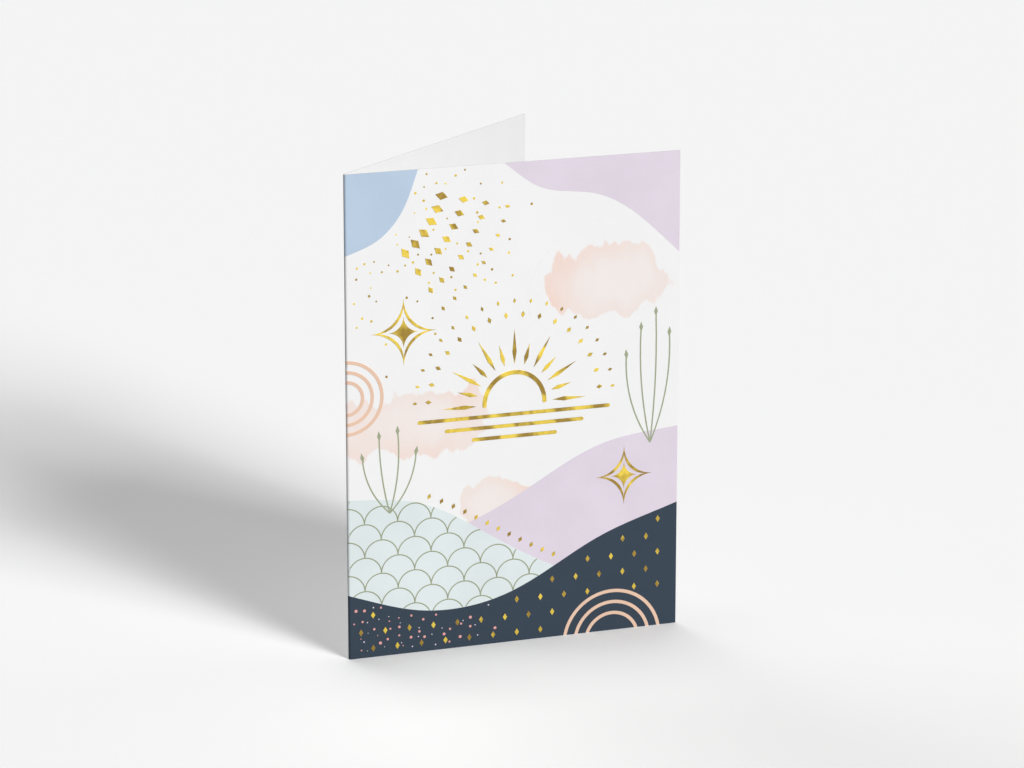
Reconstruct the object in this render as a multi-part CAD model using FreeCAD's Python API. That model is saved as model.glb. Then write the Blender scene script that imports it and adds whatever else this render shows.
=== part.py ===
import FreeCAD, Part

import math
import os

# A greeting card: one sheet of card, scored and folded once, standing open like a V on its lower
# edges. The print on its front is part of the sheet: thin layers of ink and foil that lie on the
# board, each with its own thickness, so a thicker layer covers a thinner one where they cross.
# The front panel faces -Y with the fold at its left, and the back panel swings away behind it.

# The sheet
panel_width = 105.0        # closed card, from the outside of the fold to the free edges
panel_height = 148.0
board = 0.4
inner_bend = 0.3           # radius that the score leaves inside the fold
score_bead = 0.18          # radius of the ridge that the scoring rule presses up inside the fold
opening_angle = 40.0       # between the two panels

# Thickness of each printed layer on the board
blush_film = 0.012
lavender_film = 0.020
aqua_film = 0.030
blue_film = 0.040
sage_film = 0.050
navy_film = 0.060
apricot_film = 0.070
foil_film = 0.100
bleed = 4.0                # print runs at least this far past the trimmed edges before they cut it off

# Crests of the printed hills, as shares of the panel's width and height
lavender_crest = [(0.00, 0.215), (0.25, 0.240), (0.52, 0.315), (0.78, 0.405), (1.00, 0.425)]
aqua_crest = [(0.00, 0.335), (0.20, 0.318), (0.42, 0.235), (0.70, 0.130), (1.00, 0.080)]
navy_crest = [(0.00, 0.135), (0.20, 0.090), (0.48, 0.105), (0.76, 0.205), (1.00, 0.262)]
cloud_edge = [(0.47, 1.000), (0.58, 0.945), (0.74, 0.925), (0.88, 0.870), (1.00, 0.790)]
corner_edge = [(0.00, 0.835), (0.09, 0.860), (0.17, 0.920), (0.215, 1.000)]

# Washes of blush: middle and reach as shares of the panel, and where the lobes of the rim start
washes = [
    ((0.20, 0.475), (0.33, 0.120), 200.0),
    ((0.79, 0.745), (0.26, 0.112), 140.0),
    ((0.45, 0.300), (0.20, 0.078), 20.0),
]
wash_lobes = 3
wash_lobe_rise = 0.10      # how far a lobe stands out, as a share of the reach
wash_points = 12

# Half sun in gold foil, with rays, a low horizon and strings of lozenges
sun_place = (0.50, 0.505)
sun_radius = 9.5
sun_line = 1.3
ray_count = 13
ray_gap = 2.6
long_ray = 10.5
short_ray = 6.5
ray_width = 1.3
ray_waist = 0.35           # how far along a ray its widest point lies
halo_gap = 4.6
halo_step = 4.2
halo_counts = (16, 19)
halo_lengths = (2.0, 1.5)
horizon_lengths = (61.0, 44.0, 27.0)
horizon_step = 3.4
horizon_line = 1.1

# Nested four-pointed stars in gold foil
star_places = [(0.170, 0.672), (0.835, 0.330)]
star_reaches = (10.0, 9.0)
star_waist = 0.43          # distance of a star's hollow from its middle, as a share of its reach
star_line = 0.85
star_core = 0.46           # the small star inside, as a share of the outer one

# Lozenges in gold foil
lozenge_slimness = 0.62    # width of a lozenge as a share of its length
diaper_length = 2.2
diaper_step = 7.6
diaper_rise = 5.2
diaper_clear = 2.4         # from a lozenge's middle to the navy crest
diaper_margin = 2.5        # from the last lozenge's middle to the free edge
crest_length = 1.9
crest_step = 4.1
crest_start = 25.0         # along the crest, past the reeds that grow there
crest_offset = 2.8
shower_rings = (31.0, 38.0, 45.0, 52.0)
shower_counts = (6, 7, 8, 9)
shower_lengths = (4.0, 3.2, 2.4, 1.7)
shower_spread = (-57.0, -12.0)

# Nested arches in apricot ink
arch_line = 1.05
low_arch_place = (0.80, -0.02)
low_arch_radii = (8.5, 12.0, 15.5)
side_arch_place = (0.0, 0.545)
side_arch_radii = (5.0, 8.0, 11.0)

# Fans of fine reeds in sage ink: each tip's place, and how far its stem bows to the right
reed_line = 0.42
reed_head = 3.2            # length of the slim seed head at each tip
reed_head_slimness = 0.38
right_reed_root = (0.915, 0.395)
right_reeds = [
    ((0.840, 0.585), -2.5),
    ((0.885, 0.640), -1.3),
    ((0.930, 0.670), 0.8),
    ((0.972, 0.625), 2.1),
]
left_reed_root = (0.125, 0.300)
left_reeds = [
    ((0.045, 0.420), -2.1),
    ((0.095, 0.462), -0.8),
    ((0.150, 0.470), 1.3),
    ((0.205, 0.425), 2.1),
]

outer_bend = inner_bend + board
fold_to_edge = panel_width - outer_bend
fold_line_angle = 180.0 + opening_angle / 2
back_face_angle = 90.0 + opening_angle
edge_tolerance = board / 100


def turned(radius, degrees):
    """Point in plan, at a radius from the middle of the bend."""
    angle = math.radians(degrees)
    return FreeCAD.Vector(radius * math.cos(angle), radius * math.sin(angle), 0)


def prism(edges):
    """Full-height solid over an outline in plan."""
    face = Part.Face(Part.Wire(edges))
    return face.extrude(FreeCAD.Vector(0, 0, panel_height))


def folded_board():
    """The bare sheet: front panel, rolled fold with its bead, and back panel."""
    along_back = turned(fold_to_edge, opening_angle)
    front_out = FreeCAD.Vector(fold_to_edge, -outer_bend, 0)
    front_in = FreeCAD.Vector(fold_to_edge, -inner_bend, 0)
    bend_out = turned(outer_bend, 270)
    bend_in = turned(inner_bend, 270)
    back_bend_out = turned(outer_bend, back_face_angle)
    back_bend_in = turned(inner_bend, back_face_angle)
    back_out = back_bend_out + along_back
    back_in = back_bend_in + along_back
    sheet = prism([
        Part.LineSegment(front_out, bend_out).toShape(),
        Part.Arc(bend_out, turned(outer_bend, fold_line_angle), back_bend_out).toShape(),
        Part.LineSegment(back_bend_out, back_out).toShape(),
        Part.LineSegment(back_out, back_in).toShape(),
        Part.LineSegment(back_in, back_bend_in).toShape(),
        Part.Arc(back_bend_in, turned(inner_bend, fold_line_angle), bend_in).toShape(),
        Part.LineSegment(bend_in, front_in).toShape(),
        Part.LineSegment(front_in, front_out).toShape(),
    ])
    bead = Part.makeCylinder(score_bead, panel_height, turned(inner_bend, fold_line_angle))
    return sheet.fuse(bead)


def print_room(film):
    """Where a layer of ink or foil can lie: from the middle of the board to the layer's own
    outer face, from the free edge round to the line of the fold."""
    inside = outer_bend - board / 2
    outside = outer_bend + film
    middle_angle = (270 + fold_line_angle) / 2
    edge_out = FreeCAD.Vector(fold_to_edge, -outside, 0)
    edge_in = FreeCAD.Vector(fold_to_edge, -inside, 0)
    bend_out = turned(outside, 270)
    bend_in = turned(inside, 270)
    fold_out = turned(outside, fold_line_angle)
    fold_in = turned(inside, fold_line_angle)
    return prism([
        Part.LineSegment(edge_out, bend_out).toShape(),
        Part.Arc(bend_out, turned(outside, middle_angle), fold_out).toShape(),
        Part.LineSegment(fold_out, fold_in).toShape(),
        Part.Arc(fold_in, turned(inside, middle_angle), bend_in).toShape(),
        Part.LineSegment(bend_in, edge_in).toShape(),
        Part.LineSegment(edge_in, edge_out).toShape(),
    ])


def on_panel(place):
    """Point of the artwork, from its shares of the front panel's width and height."""
    across, up = place
    return FreeCAD.Vector(across * panel_width - outer_bend, 0, up * panel_height)


def off(point, right, up):
    """Point a number of millimetres to the right of another and above it."""
    return point + FreeCAD.Vector(right, 0, up)


def polar(centre, radius, degrees):
    """Point at a radius and an angle from a centre, in the plane of the artwork."""
    angle = math.radians(degrees)
    return off(centre, radius * math.cos(angle), radius * math.sin(angle))


def outline_face(edges):
    return Part.Face(Part.Wire(edges))


def polygon_face(points):
    return Part.Face(Part.makePolygon(points + points[:1]))


def smooth_edge(points):
    curve = Part.BSplineCurve()
    curve.interpolate(points)
    return curve.toShape()


def lozenge(centre, length, degrees, slimness=lozenge_slimness):
    """Lozenge with its long way at an angle."""
    reaches = (length / 2, length * slimness / 2)
    return polygon_face([polar(centre, reaches[side % 2], degrees + 90 * side) for side in range(4)])


def crest_curve(shares):
    """Smooth edge through a crest's points, drawn on past both sides of the sheet."""
    points = [on_panel(share) for share in shares]
    start = points[0] + (points[0] - points[1]).normalize() * bleed
    end = points[-1] + (points[-1] - points[-2]).normalize() * bleed
    return [start] + points + [end]


def field(shares, corners):
    """Field of colour between a crest and corners that lie outside the sheet."""
    crest = crest_curve(shares)
    rim = [crest[-1]] + corners + [crest[0]]
    edges = [smooth_edge(crest)]
    for first, second in zip(rim, rim[1:]):
        edges.append(Part.LineSegment(first, second).toShape())
    return outline_face(edges)


def sheet_corner(across, up):
    """Corner of the panel, moved out past the ends of the crests."""
    reach = 2 * bleed
    right = reach if across else -reach
    rise = reach if up else -reach
    return off(on_panel((across, up)), right, rise)


def hill(shares):
    return field(shares, [sheet_corner(1, 0), sheet_corner(0, 0)])


def wash(place, reach, phase):
    """Round patch of colour with a few lobes along its rim."""
    centre = on_panel(place)
    points = []
    for number in range(wash_points):
        angle = 2 * math.pi * number / wash_points
        swell = 1 + wash_lobe_rise * math.sin(wash_lobes * angle + math.radians(phase))
        right = swell * reach[0] * panel_width * math.cos(angle)
        rise = swell * reach[1] * panel_height * math.sin(angle)
        points.append(off(centre, right, rise))
    rim = Part.BSplineCurve()
    rim.interpolate(points, PeriodicFlag=True)
    return outline_face([rim.toShape()])


def arch(centre, radius, line, start=0.0, end=180.0):
    """Band of a circle with round ends."""
    middle = (start + end) / 2
    outer = radius + line / 2
    inner = radius - line / 2
    outer_start, outer_end = polar(centre, outer, start), polar(centre, outer, end)
    inner_start, inner_end = polar(centre, inner, start), polar(centre, inner, end)
    start_cap = polar(polar(centre, radius, start), line / 2, start - 90)
    end_cap = polar(polar(centre, radius, end), line / 2, end + 90)
    return outline_face([
        Part.Arc(outer_start, polar(centre, outer, middle), outer_end).toShape(),
        Part.Arc(outer_end, end_cap, inner_end).toShape(),
        Part.Arc(inner_end, polar(centre, inner, middle), inner_start).toShape(),
        Part.Arc(inner_start, start_cap, outer_start).toShape(),
    ])


def bar(centre, length, line):
    """Level line with round ends."""
    half = (length - line) / 2
    rise = line / 2
    low_left, low_right = off(centre, -half, -rise), off(centre, half, -rise)
    high_left, high_right = off(centre, -half, rise), off(centre, half, rise)
    return outline_face([
        Part.LineSegment(low_left, low_right).toShape(),
        Part.Arc(low_right, off(centre, half + rise, 0), high_right).toShape(),
        Part.LineSegment(high_right, high_left).toShape(),
        Part.Arc(high_left, off(centre, -half - rise, 0), low_left).toShape(),
    ])


def ray(centre, start, length, degrees):
    """Slim lozenge that points away from the sun."""
    widest = start + length * ray_waist
    lean = math.degrees(math.atan2(ray_width / 2, widest))
    across = math.hypot(widest, ray_width / 2)
    return polygon_face([
        polar(centre, start, degrees),
        polar(centre, across, degrees + lean),
        polar(centre, start + length, degrees),
        polar(centre, across, degrees - lean),
    ])


def star(centre, reach):
    """Four-pointed star with hollow sides."""
    edges = []
    for quarter in range(4):
        tip = polar(centre, reach, 90 * quarter)
        hollow = polar(centre, reach * star_waist, 90 * quarter + 45)
        next_tip = polar(centre, reach, 90 * quarter + 90)
        edges.append(Part.Arc(tip, hollow, next_tip).toShape())
    return outline_face(edges)


def star_outline(centre, reach):
    """Star drawn as a line: the waist of the inner edge lies one line's width further in."""
    inner_reach = reach - star_line / star_waist
    return star(centre, reach).cut(star(centre, inner_reach))


def ribbon(points, line):
    """Stroke of one width along a smooth curve, with square ends."""
    curve = Part.BSplineCurve()
    curve.interpolate(points)
    first, last = curve.FirstParameter, curve.LastParameter
    left, right = [], []
    steps = 2 * len(points)
    for step in range(steps + 1):
        place = first + (last - first) * step / steps
        point = curve.value(place)
        heading = curve.tangent(place)[0]
        sideways = FreeCAD.Vector(-heading.z, 0, heading.x) * (line / 2)
        left.append(point + sideways)
        right.append(point - sideways)
    return outline_face([
        smooth_edge(left),
        Part.LineSegment(left[-1], right[-1]).toShape(),
        smooth_edge(right),
        Part.LineSegment(right[0], left[0]).toShape(),
    ])


def sun():
    """Half sun over its horizon, with rays and two strings of lozenges."""
    centre = on_panel(sun_place)
    shapes = [arch(centre, sun_radius, sun_line)]
    ray_start = sun_radius + ray_gap
    for number in range(ray_count):
        length = long_ray if number % 2 == 0 else short_ray
        shapes.append(ray(centre, ray_start, length, 180.0 * number / (ray_count - 1)))
    halo = ray_start + long_ray + halo_gap
    for count, length in zip(halo_counts, halo_lengths):
        for number in range(count):
            angle = 180.0 * (number + 0.5) / count
            shapes.append(lozenge(polar(centre, halo, angle), length, angle))
        halo += halo_step
    for number, length in enumerate(horizon_lengths):
        shapes.append(bar(off(centre, 0, -horizon_step * (number + 1)), length, horizon_line))
    return shapes


def stars():
    shapes = []
    for place, reach in zip(star_places, star_reaches):
        centre = on_panel(place)
        shapes.append(star_outline(centre, reach))
        shapes.append(star(centre, reach * star_core))
    return shapes


def diaper(navy):
    """Rows of lozenges over the navy hill, every second row moved half a step."""
    shapes = []
    corner = on_panel((0, 0))
    crest_height = panel_height * max(up for across, up in navy_crest)
    for row in range(int(crest_height / diaper_rise)):
        height = diaper_rise * (row + 1) - diaper_clear
        across = diaper_step / (1 + row % 2)
        while across < panel_width - diaper_margin:
            centre = off(corner, across, height)
            above = off(centre, 0, diaper_clear)
            if navy.isInside(above, edge_tolerance, True) and clear_of_arches(centre):
                shapes.append(lozenge(centre, diaper_length, 90))
            across += diaper_step
    return shapes


def clear_of_arches(centre):
    """Whether a lozenge stays outside the nested arches that rise from the lower edge."""
    distance = (centre - on_panel(low_arch_place)).Length
    return distance > max(low_arch_radii) + arch_line + diaper_length / 2


def crest_string(navy):
    """String of lozenges along the aqua hill's crest, from the reeds to the navy hill."""
    edge = smooth_edge([on_panel(share) for share in aqua_crest])
    shapes = []
    along = crest_start
    while along < edge.Length:
        place = edge.getParameterByLength(along)
        heading = edge.tangentAt(place)
        outward = FreeCAD.Vector(-heading.z, 0, heading.x)
        crest = edge.valueAt(place)
        if not navy.isInside(crest, edge_tolerance, True):
            centre = crest + outward * crest_offset
            lean = math.degrees(math.atan2(outward.z, outward.x))
            shapes.append(lozenge(centre, crest_length, lean))
        along += crest_step
    return shapes


def shower():
    """Lozenges on rings about the upper fold corner, smaller on each ring out."""
    corner = on_panel((0, 1))
    start, end = shower_spread
    shapes = []
    for ring, count, length in zip(shower_rings, shower_counts, shower_lengths):
        for number in range(count):
            angle = start + (end - start) * (number + 0.5) / count
            shapes.append(lozenge(polar(corner, ring, angle), length, angle))
    return shapes


def arches():
    shapes = [arch(on_panel(low_arch_place), radius, arch_line) for radius in low_arch_radii]
    for radius in side_arch_radii:
        shapes.append(arch(on_panel(side_arch_place), radius, arch_line, -90.0, 90.0))
    return shapes


def reeds(root, tips):
    """Fan of fine stems from one root, each with a slim seed head."""
    shapes = []
    base = on_panel(root)
    for place, bow in tips:
        tip = on_panel(place)
        middle = off((base + tip) / 2, bow, 0)
        shapes.append(ribbon([base, middle, tip], reed_line))
        lean = math.degrees(math.atan2(tip.z - middle.z, tip.x - middle.x))
        shapes.append(lozenge(tip, reed_head, lean, reed_head_slimness))
    return shapes


def joined(shapes):
    """Flat shapes of one colour as a single flat shape."""
    if len(shapes) == 1:
        return shapes[0]
    return shapes[0].multiFuse(shapes[1:]).removeSplitter()


def layer(shapes, film):
    """Solid layer of one ink or foil, trimmed at the sheet's edges and at the fold."""
    flat = joined(shapes)
    deep = flat.extrude(FreeCAD.Vector(0, -(outer_bend + 2 * film), 0))
    return deep.common(print_room(film))


def greeting_card():
    blush = [wash(place, reach, phase) for place, reach, phase in washes]
    lavender = [hill(lavender_crest), field(cloud_edge, [sheet_corner(1, 1)])]
    aqua = hill(aqua_crest)
    navy = hill(navy_crest)
    corner = field(corner_edge, [sheet_corner(0, 1)])
    sage = reeds(right_reed_root, right_reeds) + reeds(left_reed_root, left_reeds)
    gold = sun() + stars() + diaper(navy) + crest_string(navy) + shower()
    layers = [
        layer(blush, blush_film),
        layer(lavender, lavender_film),
        layer([aqua], aqua_film),
        layer([corner], blue_film),
        layer(sage, sage_film),
        layer([navy], navy_film),
        layer(arches(), apricot_film),
        layer(gold, foil_film),
    ]
    return folded_board().multiFuse(layers).removeSplitter()


def stood_on_its_base(card):
    """Moves the card so that the middle of its footprint is the origin."""
    box = card.optimalBoundingBox(False)
    card.translate(FreeCAD.Vector(-(box.XMin + box.XMax) / 2, -(box.YMin + box.YMax) / 2, 0))
    return card


os.makedirs("parts", exist_ok=True)
folded_card = stood_on_its_base(greeting_card())
solids = folded_card.Solids
volume = round(folded_card.Volume, 1)
print("folded_card:", len(solids), "solid, valid", folded_card.isValid(), "volume", volume)
solids[0].exportStep("parts/folded_card.step")
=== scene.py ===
import bpy
import bmesh
import math
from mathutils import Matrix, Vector


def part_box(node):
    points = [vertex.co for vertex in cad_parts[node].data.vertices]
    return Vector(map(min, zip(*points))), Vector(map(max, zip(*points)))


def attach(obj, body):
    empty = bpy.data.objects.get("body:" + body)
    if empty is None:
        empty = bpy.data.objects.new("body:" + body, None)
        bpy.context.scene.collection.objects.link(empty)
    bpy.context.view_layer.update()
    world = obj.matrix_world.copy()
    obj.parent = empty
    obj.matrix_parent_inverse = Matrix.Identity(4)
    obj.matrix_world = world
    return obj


# A folded greeting card that stands open, its front printed in inks and gold foil

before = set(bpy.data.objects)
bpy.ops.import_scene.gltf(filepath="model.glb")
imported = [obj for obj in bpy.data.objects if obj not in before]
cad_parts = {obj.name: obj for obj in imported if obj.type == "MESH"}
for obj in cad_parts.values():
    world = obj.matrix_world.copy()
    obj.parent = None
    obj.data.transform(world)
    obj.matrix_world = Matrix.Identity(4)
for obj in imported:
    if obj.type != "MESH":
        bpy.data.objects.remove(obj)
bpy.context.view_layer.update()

# The card's own sizes, in metres
MM = 0.001
PANEL_WIDTH = 105 * MM
PANEL_HEIGHT = 148 * MM
FOLD_RADIUS = 0.7 * MM
BOARD_THICKNESS = 0.4 * MM
OPENING = math.radians(40)
SAME_LEVEL = 0.003 * MM            # two faces nearer than this lie at one level
CORNER_MERGE = 0.001 * MM          # corners that agree to this are one corner
FACET_SLACK = 0.015 * MM           # how far a flat facet may dip inside the round of the fold
FILM_LIFT = 0.006 * MM             # a printed film's face over the solid's own face

# How closely a face's normal keeps to a direction, as the cosine between them
DEAD_ON = 0.9999
SQUARE_ON = 0.99
NEARLY_ON = 0.9
ASLANT = 0.5

# Printed layers, from the thickest to the bare board
LAYERS = ("foil", "apricot", "navy", "sage", "blue", "aqua", "lavender", "blush", "board")

# Colours, as sRGB values
BOARD_WHITE = (242, 242, 242)
# The inside's grey is partly the plain uncoated stock and partly painted shade: it is set darker than
# the front so that the inner faces of the V look shaded
INSIDE_WHITE_AND_PAINTED_SHADE = (226, 226, 226)
WASH_BLUSH = (239, 222, 215)
WASH_PEACH = (242, 206, 190)
INKS = {
    "apricot": (234, 198, 174),
    "navy": (46, 59, 73),
    "sage": (160, 168, 138),
    "blue": (186, 205, 225),
    "aqua": (225, 234, 235),
    "lavender": (225, 214, 227),
}
# Dark and bright gold of the foil's painted reflection, between which its bands swing
GOLD_REFLECTION_DARK = (160, 132, 62)
GOLD_REFLECTION_BRIGHT = (234, 206, 84)
SPECK_PINK = (228, 164, 160)
BOARD_SHADE = 0.98                 # how far a sheet's tone falls in its darker patches
INK_SHADE = 0.95

# Surfaces: roughness in the hollows and on the crests of the fibre, and how strong its relief is
COATED = ((0.66, 0.78), 0.12)
UNCOATED = ((0.82, 0.94), 0.22)
CUT = ((0.88, 0.96), 0.40)
PRINTED = ((0.56, 0.68), 0.08)
FOILED = ((0.27, 0.36), 0.10)
MATT_SPECULAR = 0.25
RELIEF_HEIGHT = 0.05 * MM

# Paper: how coarse its texture is, and how much its fibres are drawn out up the sheet
FIBRE_SIZE = 0.19 * MM
PULP_SIZE = 0.67 * MM
PULP_SHARE = 0.4
SHEET_CLOUD_SIZE = 18 * MM
FIBRE_DRAW = (1.0, 1.0, 0.35)

# Washes on the board: middle and reach, as shares of the panel
WASHES = (
    ((0.20, 0.475), (0.33, 0.120)),
    ((0.79, 0.745), (0.26, 0.112)),
    ((0.45, 0.300), (0.20, 0.078)),
)
WASH_EDGE = 0.68                   # share of its reach at which a wash ends
WASH_EDGE_SOFTNESS = 0.03
WASH_RIM = 0.30                    # share of its reach from which it dries darker
WASH_RIM_DARKENING = 0.35
WASH_LOBE_SIZE = 21 * MM
WASH_LOBES = 1.0                   # how far lobes and rags swing its edge, as shares of its reach
WASH_RAG_SIZE = 5.6 * MM
WASH_RAGS = 0.66
WASH_RUN = (1.0, 1.0, 0.55)        # the wet colour ran down the sheet a little
WASH_BODY_SIZE = 33 * MM
WASH_BODY = (0.40, 0.75)           # weakest and strongest colour inside its rim
WASH_BLOOM_SIZE = 38 * MM
WASH_BLOOM = (0.46, 0.68)          # where in its noise a bloom begins, and is full
WASH_STRENGTH = 0.95
PEACH_STRENGTH = 0.85

# Foil, with bands of painted reflection across it
FOIL_METAL = 0.9
FOIL_DRIFT_SIZE = 3 * MM
FOIL_DRIFT_SHARE = 0.45
FOIL_RIPPLE_SIZE = 2.4 * MM
FOIL_REFLECTION_BAND_WIDTH = 11 * MM
FOIL_REFLECTION_BAND_LEAN = math.radians(38)
FOIL_REFLECTION_BAND_EDGES = (0.18, 0.82)     # where a band of painted reflection is fully dark, and fully bright

# Camera: where it stood when the photo was taken, and which way it looked
CAMERA_PLACE = Vector((-0.3963, -1.1375, 0.3945))
CAMERA_TURN = math.radians(19.72)
CAMERA_TILT = math.radians(14.99)
CAMERA_LENS = 143.2

# Lamps: heading and height in degrees, strength, and the width of the lamp in degrees
LAMPS = {
    "low_key": (-73, 22, 2.02, 15),
    "high_key": (-63, 33, 1.36, 17),
    "overhead": (70, 76, 0.62, 20),
    "back_fill": (110, 17, 1.32, 46),
    "side_fill": (20, 10, 0.42, 40),
}
SKY_STRENGTH = 0.11
SEEN_WHITE = 0.98                  # floor and sky, as the camera and the foil see them
FLOOR_BOUNCE = 0.12                # floor, as the light that it throws back at the card sees it


def linear(rgb):
    """Colour sockets hold linear light, so an sRGB value is turned to that."""
    shares = [value / 255 for value in rgb]
    return tuple(s / 12.92 if s <= 0.04045 else ((s + 0.055) / 1.055) ** 2.4 for s in shares) + (1.0,)


# Where the printed front and the fold are

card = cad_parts["folded_card"]
card_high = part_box("folded_card")[1]
bend_x = card_high.x - PANEL_WIDTH + FOLD_RADIUS


def front_levels():
    """Y of each level of the front, from the foil's face inwards to the board's."""
    levels = []
    for polygon in card.data.polygons:
        if polygon.normal.y < -DEAD_ON and polygon.center.x > bend_x:
            place = polygon.center.y
            if not any(abs(place - known) < SAME_LEVEL for known in levels):
                levels.append(place)
    return dict(zip(LAYERS, sorted(levels)))


level_y = front_levels()
board_y = level_y["board"]
film_height = {name: board_y - level_y[name] for name in LAYERS}
bend_y = board_y + FOLD_RADIUS
fold_line = Vector((-math.cos(OPENING / 2), -math.sin(OPENING / 2), 0))
along_back = Vector((math.cos(OPENING), math.sin(OPENING), 0))
back_inward = Vector((math.sin(OPENING), -math.cos(OPENING), 0))


def outward(point):
    """Which way is out of the printed face, on the flat and round the fold."""
    if point.x >= bend_x:
        return Vector((0, -1, 0))
    return Vector((point.x - bend_x, point.y - bend_y, 0)).normalized()


def height_over_board(point):
    """How far a point stands out from the board's printed face."""
    if point.x >= bend_x:
        return board_y - point.y
    return math.hypot(point.x - bend_x, point.y - bend_y) - FOLD_RADIUS


def unrolled(point):
    """Where a point of the rounded fold would lie if the front went on flat."""
    if point.x >= bend_x:
        return point.copy()
    turn = math.atan2(bend_x - point.x, bend_y - point.y)
    return Vector((bend_x - FOLD_RADIUS * turn, board_y - height_over_board(point), point.z))


def rolled(point):
    """The way back from flat to the rounded fold."""
    if point.x >= bend_x:
        return point.copy()
    turn = (bend_x - point.x) / FOLD_RADIUS
    reach = FOLD_RADIUS + board_y - point.y
    return Vector((bend_x - reach * math.sin(turn), bend_y - reach * math.cos(turn), point.z))


def on_panel(across, up, height=0.0):
    """Point of the front, from its shares of the panel's width and height."""
    return Vector((card_high.x - PANEL_WIDTH * (1 - across), board_y - height, PANEL_HEIGHT * up))


# Nodes

def add_node(tree, kind, inputs=(), **settings):
    """Node with its settings; its inputs go by name or number, and take a value or a link."""
    node = tree.nodes.new(kind)
    for name, value in settings.items():
        setattr(node, name, value)
    for key, value in dict(inputs).items():
        socket = node.inputs[key]
        if isinstance(value, bpy.types.NodeSocket):
            tree.links.new(value, socket)
        else:
            socket.default_value = value
    return node


def calculate(tree, operation, first, second=0.0, clamp=False):
    inputs = {0: first, 1: second}
    return add_node(tree, "ShaderNodeMath", inputs, operation=operation, use_clamp=clamp).outputs[0]


def combine(tree, operation, first, second):
    return add_node(tree, "ShaderNodeVectorMath", {0: first, 1: second}, operation=operation)


def noise(tree, vector, size, detail=3.0, roughness=0.5):
    """Noise whose lumps are about as wide as a size."""
    inputs = {"Vector": vector, "Scale": 1 / size, "Detail": detail, "Roughness": roughness}
    return add_node(tree, "ShaderNodeTexNoise", inputs).outputs["Fac"]


def ease(tree, value, low, high, low_out=0.0, high_out=1.0):
    """Smooth step from one value to another."""
    inputs = {"Value": value, "From Min": low, "From Max": high, "To Min": low_out, "To Max": high_out}
    step = add_node(tree, "ShaderNodeMapRange", inputs, interpolation_type="SMOOTHSTEP")
    return step.outputs["Result"]


NOISE_SPAN = (0.30, 0.70)          # where most of a noise lies
NOISE_MIDDLE = 0.5


def spread(tree, value, low_out=0.0, high_out=1.0):
    """Stretches a noise over a whole range."""
    return ease(tree, value, *NOISE_SPAN, low_out, high_out)


def swing(tree, value, amount):
    """Makes a noise swing about zero."""
    return calculate(tree, "MULTIPLY", calculate(tree, "SUBTRACT", value, NOISE_MIDDLE), amount)


def stretched(tree, vector, scale):
    """Place on a pattern that is drawn out along the card's sides."""
    return add_node(tree, "ShaderNodeMapping", {"Vector": vector, "Scale": scale}).outputs[0]


# A Mix node has sockets for numbers, vectors and colours side by side, so they go by number

def between(tree, share, first, second):
    """Number between two others."""
    inputs = {0: share, 2: first, 3: second}
    return add_node(tree, "ShaderNodeMix", inputs, data_type="FLOAT").outputs[0]


def mixed(tree, share, first, second):
    """Colour between two others."""
    inputs = {0: share, 6: first, 7: second}
    return add_node(tree, "ShaderNodeMix", inputs, data_type="RGBA").outputs[2]


def shader_group(name, inputs, outputs):
    group = bpy.data.node_groups.new(name, "ShaderNodeTree")
    for label, kind in inputs.items():
        group.interface.new_socket(label, in_out="INPUT", socket_type=kind)
    for label in outputs:
        group.interface.new_socket(label, in_out="OUTPUT", socket_type="NodeSocketFloat")
    given = group.nodes.new("NodeGroupInput").outputs
    wanted = group.nodes.new("NodeGroupOutput").inputs
    return group, given, wanted


# Effects that several finishes share

def card_fibre():
    """Paper fibre: a fine height for the bump, and a slow change of tone across the sheet."""
    group, given, wanted = shader_group(
        "card_fibre", {"Vector": "NodeSocketVector"}, ["Height", "Tone"])
    vector = given["Vector"]
    drawn_out = stretched(group, vector, FIBRE_DRAW)
    fibres = noise(group, drawn_out, FIBRE_SIZE, detail=2.0, roughness=0.6)
    pulp = noise(group, vector, PULP_SIZE, detail=3.0, roughness=0.55)
    clouds = noise(group, vector, SHEET_CLOUD_SIZE, detail=3.0, roughness=0.6)
    group.links.new(between(group, PULP_SHARE, fibres, pulp), wanted["Height"])
    group.links.new(clouds, wanted["Tone"])
    return group


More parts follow.
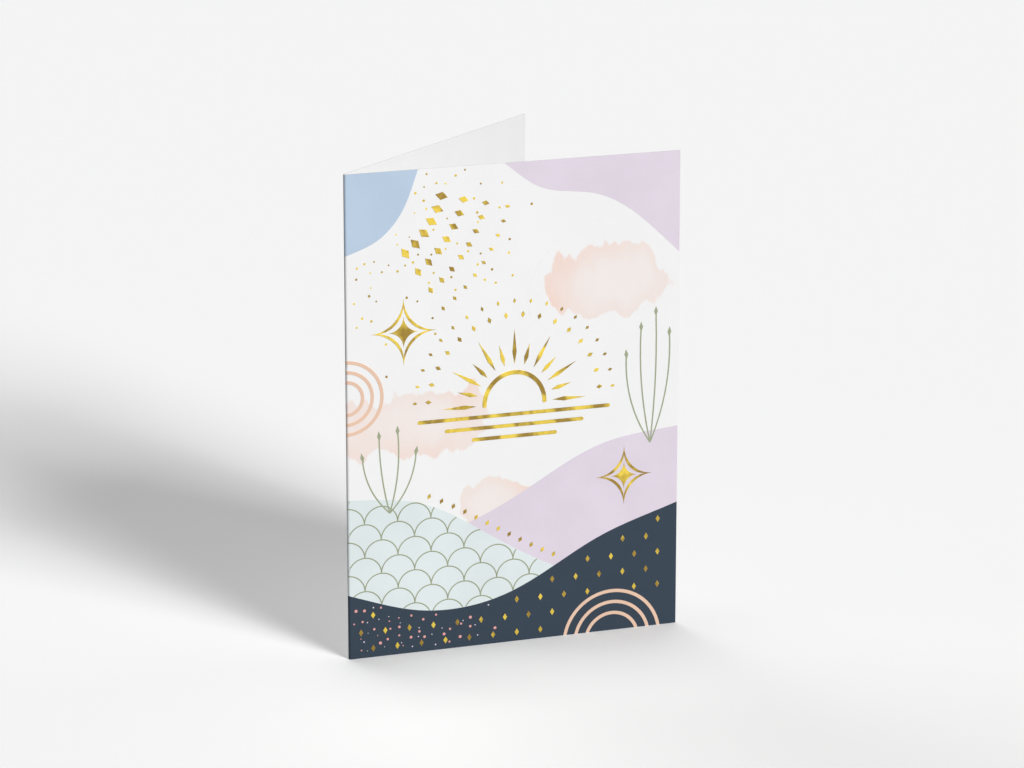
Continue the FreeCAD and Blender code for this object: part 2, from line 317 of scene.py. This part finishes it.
def watercolour_wash():
    """One wash of watercolour: a ragged patch whose rim dries darker, and blooms inside it."""
    group, given, wanted = shader_group(
        "watercolour_wash",
        {"Vector": "NodeSocketVector", "Centre": "NodeSocketVector", "Reach": "NodeSocketVector"},
        ["Mask", "Bloom"])
    vector = given["Vector"]
    run_down = stretched(group, vector, WASH_RUN)
    # Distance from the middle, 1 at the full reach, bent by the lobes and rags of the edge
    offset = combine(group, "SUBTRACT", vector, given["Centre"]).outputs["Vector"]
    share = combine(group, "DIVIDE", offset, given["Reach"]).outputs["Vector"]
    distance = add_node(group, "ShaderNodeVectorMath", {0: share}, operation="LENGTH").outputs["Value"]
    lobes = swing(group, noise(group, run_down, WASH_LOBE_SIZE, detail=1.0), WASH_LOBES)
    rags = swing(group, noise(group, run_down, WASH_RAG_SIZE, detail=3.0), WASH_RAGS)
    bent = calculate(group, "ADD", calculate(group, "ADD", distance, lobes), rags)
    edge = (WASH_EDGE - WASH_EDGE_SOFTNESS, WASH_EDGE + WASH_EDGE_SOFTNESS)
    inside = ease(group, bent, *edge, 1.0, 0.0)
    rim = ease(group, bent, WASH_RIM, WASH_EDGE)
    dried_rim = calculate(group, "MULTIPLY", rim, WASH_RIM_DARKENING)
    body = spread(group, noise(group, run_down, WASH_BODY_SIZE, detail=2.0), *WASH_BODY)
    strength = calculate(group, "ADD", dried_rim, body, clamp=True)
    group.links.new(calculate(group, "MULTIPLY", inside, strength), wanted["Mask"])
    # The blooms take another part of the noise, so that they don't follow the edge
    elsewhere = combine(group, "ADD", run_down, (0.5, 0.0, 0.2)).outputs["Vector"]
    bloom = ease(group, noise(group, elsewhere, WASH_BLOOM_SIZE, detail=2.0), *WASH_BLOOM)
    group.links.new(calculate(group, "MULTIPLY", inside, bloom), wanted["Bloom"])
    return group


FIBRE = card_fibre()
WASH = watercolour_wash()


# Finishes

def new_material(name):
    """Material with its tree, its shader and the Object coordinates."""
    material = bpy.data.materials.new(name)
    material.use_nodes = True
    tree = material.node_tree
    place = add_node(tree, "ShaderNodeTexCoord").outputs["Object"]
    return material, tree, tree.nodes["Principled BSDF"], place


def surfaced(tree, shader, height, surface):
    """Roughness and relief that follow a height."""
    (hollow, crest), relief = surface
    tree.links.new(spread(tree, height, hollow, crest), shader.inputs["Roughness"])
    inputs = {"Height": height, "Strength": relief, "Distance": RELIEF_HEIGHT}
    bump = add_node(tree, "ShaderNodeBump", inputs)
    tree.links.new(bump.outputs["Normal"], shader.inputs["Normal"])


def toned(tree, fibre, rgb, shade):
    """Colour that falls a little in slow patches, as a sheet's formation does."""
    full = linear(rgb)
    dark = tuple(value * shade for value in full[:3]) + (1.0,)
    return mixed(tree, spread(tree, fibre["Tone"]), dark, full)


def paper_material(name, rgb, shade, surface, washes=()):
    """Matt card or ink of one colour, under washes of blush that deepen to peach where they bloom."""
    material, tree, shader, place = new_material(name)
    fibre = add_node(tree, "ShaderNodeGroup", {"Vector": place}, node_tree=FIBRE).outputs
    colour = toned(tree, fibre, rgb, shade)
    for (across, up), (wide, tall) in washes:
        wash = add_node(tree, "ShaderNodeGroup", {
            "Vector": place, "Centre": on_panel(across, up),
            "Reach": (wide * PANEL_WIDTH, PANEL_WIDTH, tall * PANEL_HEIGHT)}, node_tree=WASH).outputs
        mask = calculate(tree, "MULTIPLY", wash["Mask"], WASH_STRENGTH)
        bloom = calculate(tree, "MULTIPLY", wash["Bloom"], PEACH_STRENGTH)
        colour = mixed(tree, bloom, mixed(tree, mask, colour, linear(WASH_BLUSH)), linear(WASH_PEACH))
    tree.links.new(colour, shader.inputs["Base Color"])
    shader.inputs["Specular IOR Level"].default_value = MATT_SPECULAR
    surfaced(tree, shader, fibre["Height"], surface)
    return material


def painted_foil_reflection_bands(tree, place):
    """Soft bands of painted reflection, light and dark, aslant across the foil."""
    lean = (0.0, FOIL_REFLECTION_BAND_LEAN, 0.0)
    turned = add_node(tree, "ShaderNodeMapping", {"Vector": place, "Rotation": lean}).outputs[0]
    # Unscaled, the wave texture repeats once in this length
    one_wave = 2 * math.pi / 20
    inputs = {
        "Vector": turned, "Scale": one_wave / FOIL_REFLECTION_BAND_WIDTH, "Distortion": 3.0,
        "Detail": 1.0, "Detail Scale": 0.7}
    return add_node(tree, "ShaderNodeTexWave", inputs, bands_direction="X").outputs["Fac"]


def foil_material():
    """Gold foil: soft bands of painted reflection in bright and dark gold that drift in and out, and a
    faint ripple.
    """
    material, tree, shader, place = new_material("gold_foil")
    drift = spread(tree, noise(tree, place, FOIL_DRIFT_SIZE, detail=1.0))
    drifting = between(tree, FOIL_DRIFT_SHARE, painted_foil_reflection_bands(tree, place), drift)
    band = ease(tree, drifting, *FOIL_REFLECTION_BAND_EDGES)
    # The gold swings between painted dark and bright reflection
    gold = mixed(tree, band, linear(GOLD_REFLECTION_DARK), linear(GOLD_REFLECTION_BRIGHT))
    tree.links.new(gold, shader.inputs["Base Color"])
    shader.inputs["Metallic"].default_value = FOIL_METAL
    surfaced(tree, shader, noise(tree, place, FOIL_RIPPLE_SIZE, detail=2.0), FOILED)
    return material


FINISHES = {
    "board": paper_material("coated_board", BOARD_WHITE, BOARD_SHADE, COATED),
    # The inside and the cut edges take a grey that is partly painted shade
    "inside": paper_material("uncoated_inside", INSIDE_WHITE_AND_PAINTED_SHADE, BOARD_SHADE, UNCOATED),
    "edge": paper_material("cut_edge", INSIDE_WHITE_AND_PAINTED_SHADE, BOARD_SHADE, CUT),
    "blush": paper_material("blush_wash", BOARD_WHITE, BOARD_SHADE, COATED, WASHES),
    "speck": paper_material("speck_ink", SPECK_PINK, INK_SHADE, PRINTED),
    "foil": foil_material(),
}
for ink, ink_colour in INKS.items():
    FINISHES[ink] = paper_material(ink + "_ink", ink_colour, INK_SHADE, PRINTED)


# The card itself keeps its mesh; each of its faces takes the finish of its layer

def points_of(polygon):
    return [card.data.vertices[index].co for index in polygon.vertices]


def is_printed_side(polygon):
    """Whether a face belongs to the outside of the front, up to the line of the fold."""
    centre = polygon.center
    if centre.x >= bend_x:
        return centre.y < board_y + SAME_LEVEL
    from_bend = Vector((centre.x - bend_x, centre.y - bend_y, 0))
    past_fold_line = fold_line.cross(from_bend).z < 0
    return from_bend.length > FOLD_RADIUS - FACET_SLACK and not past_fold_line


def is_inside(polygon):
    """Whether a face looks into the V."""
    reach = math.hypot(polygon.center.x - bend_x, polygon.center.y - bend_y)
    inside_bend = reach < FOLD_RADIUS - BOARD_THICKNESS / 2
    faces_in = polygon.normal.y > SQUARE_ON or polygon.normal.dot(back_inward) > SQUARE_ON
    return abs(polygon.normal.z) < ASLANT and (faces_in or inside_bend)


def finish_of(polygon):
    """Finish of one face: its print by its height, and otherwise which side of the sheet it is."""
    if is_printed_side(polygon):
        highest = max(height_over_board(point) for point in points_of(polygon))
        for name in LAYERS[:-1]:
            if abs(highest - film_height[name]) < SAME_LEVEL:
                return name
        if abs(polygon.normal.z) < ASLANT and polygon.normal.x < ASLANT:
            return "board"
    if is_inside(polygon):
        return "inside"
    top_or_foot = abs(polygon.normal.z) > ASLANT
    free_edge = polygon.normal.x > NEARLY_ON or polygon.normal.dot(along_back) > SQUARE_ON
    return "edge" if top_or_foot or free_edge else "board"


def finish_the_card():
    names = list(FINISHES)
    card.data.materials.clear()
    for name in names:
        card.data.materials.append(FINISHES[name])
    for polygon in card.data.polygons:
        polygon.material_index = names.index(finish_of(polygon))


# Pieces of print

def add_object(name, data):
    piece = bpy.data.objects.new(name, data)
    bpy.context.scene.collection.objects.link(piece)
    return piece


def finish_piece(name, mesh, finish):
    """Piece with one finish that belongs to the card."""
    mesh.name = name
    mesh.materials.clear()
    mesh.materials.append(FINISHES[finish])
    for polygon in mesh.polygons:
        polygon.material_index = 0
    piece = add_object(name, mesh)
    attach(piece, "root")
    return piece


def faces_at(names):
    """Copy of the card's faces at the levels of some layers, merged into whole fields."""
    shape = bmesh.new()
    corners = {}
    heights = [film_height[name] for name in names]
    for polygon in card.data.polygons:
        looks_out = outward(polygon.center).dot(polygon.normal) >= NEARLY_ON
        if not is_printed_side(polygon) or not looks_out:
            continue
        points = points_of(polygon)
        spans = [max(abs(height_over_board(point) - height) for point in points) for height in heights]
        if min(spans) > SAME_LEVEL:
            continue
        verts = []
        for point in points:
            key = tuple(round(value / CORNER_MERGE) for value in point)
            if key not in corners:
                corners[key] = shape.verts.new(point)
            verts.append(corners[key])
        if len(set(verts)) == len(verts):
            shape.faces.new(verts)
    return shape


def to_mesh(shape, name):
    mesh = bpy.data.meshes.new(name)
    shape.to_mesh(mesh)
    shape.free()
    return mesh


def printed_film(name, layer):
    """Closed film of ink or foil over one layer's faces, from the board to just over them."""
    film = faces_at([layer])
    height = film_height[layer]
    tops = list(film.faces)
    rims = [(edge.link_loops[0].vert, edge.link_loops[0].link_loop_next.vert)
            for edge in film.edges if len(edge.link_faces) == 1]
    bottom = {vert: film.verts.new(vert.co - outward(vert.co) * height) for vert in list(film.verts)}
    for first, second in rims:
        film.faces.new((second, first, bottom[first], bottom[second]))
    for face in tops:
        film.faces.new([bottom[vert] for vert in reversed(face.verts)])
    for vert in bottom:
        vert.co += outward(vert.co) * FILM_LIFT
    finish_piece(name, to_mesh(film, name), layer)


# What repeats: trees that grow it over the print

def geometry_tree(name, inputs):
    tree = bpy.data.node_groups.new(name, "GeometryNodeTree")
    tree.interface.new_socket("Geometry", in_out="INPUT", socket_type="NodeSocketGeometry")
    for label, kind in inputs.items():
        tree.interface.new_socket(label, in_out="INPUT", socket_type="NodeSocket" + kind)
    tree.interface.new_socket("Material", in_out="INPUT", socket_type="NodeSocketMaterial")
    tree.interface.new_socket("Geometry", in_out="OUTPUT", socket_type="NodeSocketGeometry")
    return tree, tree.nodes.new("NodeGroupInput").outputs


def end_tree(tree, given, geometry):
    """Last nodes of a tree: real geometry with its material."""
    real = add_node(tree, "GeometryNodeRealizeInstances", {"Geometry": geometry})
    painted = add_node(tree, "GeometryNodeSetMaterial", {
        "Geometry": real.outputs[0], "Material": given["Material"]})
    ending = tree.nodes.new("NodeGroupOutput")
    tree.links.new(painted.outputs[0], ending.inputs["Geometry"])


def random_between(tree, low, high, seed):
    """Number for each point, between two others."""
    inputs = {2: low, 3: high, "Seed": seed}
    return add_node(tree, "FunctionNodeRandomValue", inputs, data_type="FLOAT").outputs[1]


def upright(tree, geometry):
    """Turns what lies flat to stand in the plane of the front."""
    inputs = {"Geometry": geometry, "Rotation": (math.pi / 2, 0.0, 0.0)}
    return add_node(tree, "GeometryNodeTransform", inputs).outputs[0]


DOT_SIDES = 14
ARC_POINTS = 81


def scattered_dots():
    """Round dots scattered over a surface, fewer with the distance from a centre, and clear of
    what lies on another surface."""
    tree, given = geometry_tree("scattered_dots", {
        "Spacing": "Float", "Density": "Float", "Seed": "Int", "Smallest": "Float", "Largest": "Float",
        "Thickness": "Float", "Centre": "Vector", "Inner Reach": "Float", "Outer Reach": "Float",
        "Keep Clear Of": "Object", "Clearance": "Float"})
    strewn = add_node(tree, "GeometryNodeDistributePointsOnFaces", {
        "Mesh": given["Geometry"], "Distance Min": given["Spacing"], "Density Max": given["Density"],
        "Seed": given["Seed"]}, distribute_method="POISSON")
    size = random_between(tree, given["Smallest"], given["Largest"], given["Seed"])
    sized = add_node(tree, "GeometryNodeStoreNamedAttribute", {
        "Geometry": strewn.outputs["Points"], "Name": "size", "Value": size},
        data_type="FLOAT", domain="POINT")
    stored = add_node(tree, "GeometryNodeInputNamedAttribute", {"Name": "size"}, data_type="FLOAT")
    own_size = stored.outputs[0]
    here = add_node(tree, "GeometryNodeInputPosition").outputs[0]
    distance = combine(tree, "DISTANCE", here, given["Centre"]).outputs["Value"]
    limit = random_between(tree, given["Inner Reach"], given["Outer Reach"], given["Seed"])
    too_far = calculate(tree, "GREATER_THAN", distance, limit)
    other = add_node(tree, "GeometryNodeObjectInfo", {"Object": given["Keep Clear Of"]})
    nearest = add_node(
        tree, "GeometryNodeProximity", {0: other.outputs["Geometry"]}, target_element="FACES")
    room = calculate(tree, "ADD", own_size, given["Clearance"])
    too_near = calculate(tree, "LESS_THAN", nearest.outputs["Distance"], room)
    unwanted = calculate(tree, "ADD", too_far, too_near)
    kept = add_node(tree, "GeometryNodeDeleteGeometry", {
        "Geometry": sized.outputs[0], "Selection": unwanted}, domain="POINT")
    disc = add_node(tree, "GeometryNodeMeshCylinder", {
        "Vertices": DOT_SIDES, "Radius": 1.0, "Depth": given["Thickness"]})
    scale = add_node(tree, "ShaderNodeCombineXYZ", {"X": own_size, "Y": 1.0, "Z": own_size})
    placed = add_node(tree, "GeometryNodeInstanceOnPoints", {
        "Points": kept.outputs[0], "Instance": upright(tree, disc.outputs["Mesh"]),
        "Scale": scale.outputs[0]})
    end_tree(tree, given, placed.outputs[0])
    return tree


def scallop_rows():
    """Fish-scale arcs in staggered rows, each a thin flat line, cut off where the field ends."""
    tree, given = geometry_tree("scallop_rows", {
        "Corner": "Vector", "Radius": "Float", "Columns": "Int", "Rows": "Int", "Line": "Float",
        "Thickness": "Float", "Unevenness": "Float", "Shortest": "Float", "Seed": "Int"})
    radius = given["Radius"]
    count = calculate(tree, "MULTIPLY", given["Columns"], given["Rows"])
    number = add_node(tree, "GeometryNodeInputIndex").outputs[0]
    column = calculate(tree, "FLOORED_MODULO", number, given["Columns"])
    row = calculate(tree, "FLOOR", calculate(tree, "DIVIDE", number, given["Columns"]))
    shift = calculate(tree, "FLOORED_MODULO", row, 2.0)
    steps = calculate(tree, "ADD", calculate(tree, "MULTIPLY", column, 2.0), shift)
    # No two arcs lie at quite one height, so their faces never share a plane where they meet
    level = random_between(tree, 0.0, given["Unevenness"], given["Seed"])
    grid = add_node(tree, "ShaderNodeCombineXYZ", {
        "X": calculate(tree, "MULTIPLY", steps, radius), "Y": level,
        "Z": calculate(tree, "MULTIPLY", row, radius)})
    place = combine(tree, "ADD", grid.outputs[0], given["Corner"]).outputs["Vector"]
    points = add_node(tree, "GeometryNodePoints", {"Count": count, "Position": place})
    arc = add_node(tree, "GeometryNodeCurveArc", {
        "Resolution": ARC_POINTS, "Radius": radius, "Start Angle": 0.0, "Sweep Angle": math.pi},
        mode="RADIUS")
    arcs = add_node(tree, "GeometryNodeInstanceOnPoints", {
        "Points": points.outputs[0], "Instance": upright(tree, arc.outputs["Curve"])})
    lines = add_node(tree, "GeometryNodeRealizeInstances", {"Geometry": arcs.outputs[0]})
    threads = add_node(tree, "GeometryNodeCurveToMesh", {"Curve": lines.outputs[0]})
    # Each point looks for the field from a little way in front of it
    back_off = 1 * MM
    here = add_node(tree, "GeometryNodeInputPosition").outputs[0]
    in_front = combine(tree, "ADD", here, (0.0, -back_off, 0.0)).outputs["Vector"]
    ray = add_node(tree, "GeometryNodeRaycast", {
        "Target Geometry": given["Geometry"], "Source Position": in_front,
        "Ray Direction": (0.0, 1.0, 0.0), "Ray Length": 2 * back_off})
    missed = add_node(tree, "FunctionNodeBooleanMath", {0: ray.outputs["Is Hit"]}, operation="NOT")
    kept = add_node(tree, "GeometryNodeDeleteGeometry", {
        "Geometry": threads.outputs[0], "Selection": missed.outputs[0]}, domain="POINT")
    curves = add_node(tree, "GeometryNodeMeshToCurve", {"Mesh": kept.outputs[0]})
    length = add_node(tree, "GeometryNodeSplineLength").outputs["Length"]
    crumbs = calculate(tree, "LESS_THAN", length, given["Shortest"])
    whole = add_node(tree, "GeometryNodeDeleteGeometry", {
        "Geometry": curves.outputs[0], "Selection": crumbs}, domain="CURVE")
    facing = add_node(tree, "GeometryNodeSetCurveNormal", {
        "Curve": whole.outputs[0], "Normal": (0.0, -1.0, 0.0)}, mode="FREE")
    section = add_node(tree, "GeometryNodeCurvePrimitiveQuadrilateral", {
        "Width": given["Thickness"], "Height": given["Line"]})
    ribbons = add_node(tree, "GeometryNodeCurveToMesh", {
        "Curve": facing.outputs[0], "Profile Curve": section.outputs[0], "Fill Caps": True})
    end_tree(tree, given, ribbons.outputs[0])
    return tree


def grow(name, surface, tree, values, finish):
    """Runs a tree over a surface and keeps the result as a plain mesh."""
    carrier = add_object(name + "_surface", surface)
    modifier = carrier.modifiers.new("grow", "NODES")
    modifier.node_group = tree
    values = dict(values, Material=FINISHES[finish])
    for item in tree.interface.items_tree:
        if item.item_type == "SOCKET" and item.in_out == "INPUT" and item.name in values:
            modifier[item.identifier] = values[item.name]
    graph = bpy.context.evaluated_depsgraph_get()
    mesh = bpy.data.meshes.new_from_object(carrier.evaluated_get(graph))
    carrier.modifiers.clear()
    bpy.data.objects.remove(carrier)
    for vertex in mesh.vertices:
        vertex.co = rolled(vertex.co)
    return finish_piece(name, mesh, finish)


def flat_faces_at(names):
    """Faces of some layers, with the fold rolled out flat."""
    shape = faces_at(names)
    for vert in shape.verts:
        vert.co = unrolled(vert.co)
    return shape


def surface_of(layers):
    return to_mesh(flat_faces_at(layers), layers[0] + "_surface")


def everything_but(layers, pieces=()):
    """What dots keep clear of: other layers' faces, other pieces, and a border round the front."""
    shape = flat_faces_at([name for name in LAYERS if name not in layers])
    for piece in pieces:
        shape.from_mesh(piece.data)
    border = 2 * MM
    left, right = bend_x, card_high.x
    top = PANEL_HEIGHT
    strips = (
        ((left - border, -border), (right + border, 0.0)),
        ((left - border, top), (right + border, top + border)),
        ((left - border, 0.0), (left, top)),
        ((right, 0.0), (right + border, top)),
    )
    for (x0, z0), (x1, z1) in strips:
        corners = ((x0, z0), (x1, z0), (x1, z1), (x0, z1))
        shape.faces.new([shape.verts.new((x, board_y, z)) for x, z in corners])
    return add_object("kept_clear", to_mesh(shape, "kept_clear"))


def print_the_front():
    for layer in LAYERS[:-1]:
        printed_film(layer + ("_print" if layer == "foil" else "_film"), layer)


SCALLOP_RADIUS = 5.2 * MM
SHORTEST_ARC = 2.5 * MM            # a shorter rest of an arc at the hill's edge isn't drawn
FINE_LINE = 0.36 * MM
FINE_FILM = 0.024 * MM             # thickness of the finest marks, half of it sunk in what they lie on
UNEVENNESS = 0.006 * MM
DOT_THICKNESS = 2 * (FILM_LIFT + FINE_FILM / 2)


def fill_the_aqua_hill():
    height = film_height["aqua"] + FILM_LIFT + UNEVENNESS
    grow("sage_scallops", surface_of(["aqua", "sage"]), scallop_rows(), {
        "Corner": on_panel(0.0, 0.0, height), "Radius": SCALLOP_RADIUS, "Columns": 11, "Rows": 11,
        "Line": FINE_LINE, "Thickness": FINE_FILM, "Unevenness": UNEVENNESS,
        "Shortest": SHORTEST_ARC, "Seed": 3}, "sage")


def scatter_dots():
    """Specks over the navy hill's left foot, and flecks from the front's upper left corner."""
    dots = scattered_dots()
    foot = {
        "Centre": on_panel(0.10, 0.0), "Inner Reach": 10 * MM, "Outer Reach": 46 * MM,
        "Thickness": DOT_THICKNESS, "Clearance": 0.35 * MM}
    clear = everything_but(["navy"])
    pink = grow("pink_specks", surface_of(["navy"]), dots, dict(foot, **{
        "Spacing": 2.3 * MM, "Density": 200000.0, "Seed": 7,
        "Smallest": 0.16 * MM, "Largest": 0.50 * MM, "Keep Clear Of": clear}), "speck")
    bpy.data.objects.remove(clear)
    clear = everything_but(["navy"], [pink])
    grow("pale_specks", surface_of(["navy"]), dots, dict(foot, **{
        "Spacing": 2.6 * MM, "Density": 160000.0, "Seed": 19,
        "Smallest": 0.12 * MM, "Largest": 0.24 * MM, "Keep Clear Of": clear}), "lavender")
    bpy.data.objects.remove(clear)
    clear = everything_but(["board", "blush"])
    grow("gold_flecks", surface_of(["board", "blush"]), dots, {
        "Spacing": 2.4 * MM, "Density": 120000.0, "Seed": 11,
        "Smallest": 0.20 * MM, "Largest": 0.42 * MM, "Keep Clear Of": clear,
        "Centre": on_panel(0.0, 1.0), "Inner Reach": 24 * MM, "Outer Reach": 68 * MM,
        "Thickness": DOT_THICKNESS, "Clearance": 0.6 * MM}, "foil")
    bpy.data.objects.remove(clear)


# Floor, light and camera

def seen_directly(tree):
    """1 for what the camera sees, also by way of the foil, and 0 for light on its way."""
    path = add_node(tree, "ShaderNodeLightPath").outputs
    seen = calculate(tree, "ADD", path["Is Camera Ray"], path["Is Glossy Ray"], clamp=True)
    return calculate(tree, "ADD", seen, path["Is Transmission Ray"], clamp=True)


def grey(value):
    """Neutral colour, in linear light."""
    return (value, value, value, 1.0)


FLOOR_REACH = 6.0


def pale_floor():
    low, high = -FLOOR_REACH, FLOOR_REACH
    corners = [(low, low, 0), (high, low, 0), (high, high, 0), (low, high, 0)]
    mesh = bpy.data.meshes.new("floor")
    mesh.from_pydata(corners, [], [(0, 1, 2, 3)])
    plane = add_object("floor", mesh)
    material = bpy.data.materials.new("pale_floor")
    material.use_nodes = True
    tree = material.node_tree
    shader = tree.nodes["Principled BSDF"]
    colour = mixed(tree, seen_directly(tree), grey(FLOOR_BOUNCE), grey(SEEN_WHITE))
    tree.links.new(colour, shader.inputs["Base Color"])
    shader.inputs["Roughness"].default_value = 1.0
    shader.inputs["Specular IOR Level"].default_value = 0.0
    mesh.materials.append(material)


def add_lamps():
    """Distant soft lamps, each shining from its heading and its height over the horizon."""
    for name, (heading, height, strength, width) in LAMPS.items():
        light = bpy.data.lights.new(name, "SUN")
        light.energy = strength
        light.angle = math.radians(width)
        lamp = add_object(name, light)
        turn = math.radians(heading)
        rise = math.radians(height)
        level = math.cos(rise)
        towards = Vector((math.cos(turn) * level, math.sin(turn) * level, math.sin(rise)))
        lamp.rotation_euler = towards.to_track_quat("Z", "Y").to_euler()


def even_sky():
    world = bpy.data.worlds.new("studio")
    world.use_nodes = True
    tree = world.node_tree
    strength = ease(tree, seen_directly(tree), 0.0, 1.0, SKY_STRENGTH, SEEN_WHITE)
    background = tree.nodes["Background"]
    background.inputs["Color"].default_value = grey(1.0)
    tree.links.new(strength, background.inputs["Strength"])
    bpy.context.scene.world = world


def set_camera():
    lens = bpy.data.cameras.new("camera")
    lens.lens = CAMERA_LENS
    lens.sensor_width = 36
    lens.clip_start = 0.05
    lens.clip_end = 50
    eye = add_object("camera", lens)
    eye.location = CAMERA_PLACE
    eye.rotation_euler = (math.pi / 2 - CAMERA_TILT, 0.0, -CAMERA_TURN)
    bpy.context.scene.camera = eye


finish_the_card()
print_the_front()
fill_the_aqua_hill()
scatter_dots()
pale_floor()
add_lamps()
even_sky()
set_camera()
bpy.context.scene.view_settings.view_transform = "Standard"
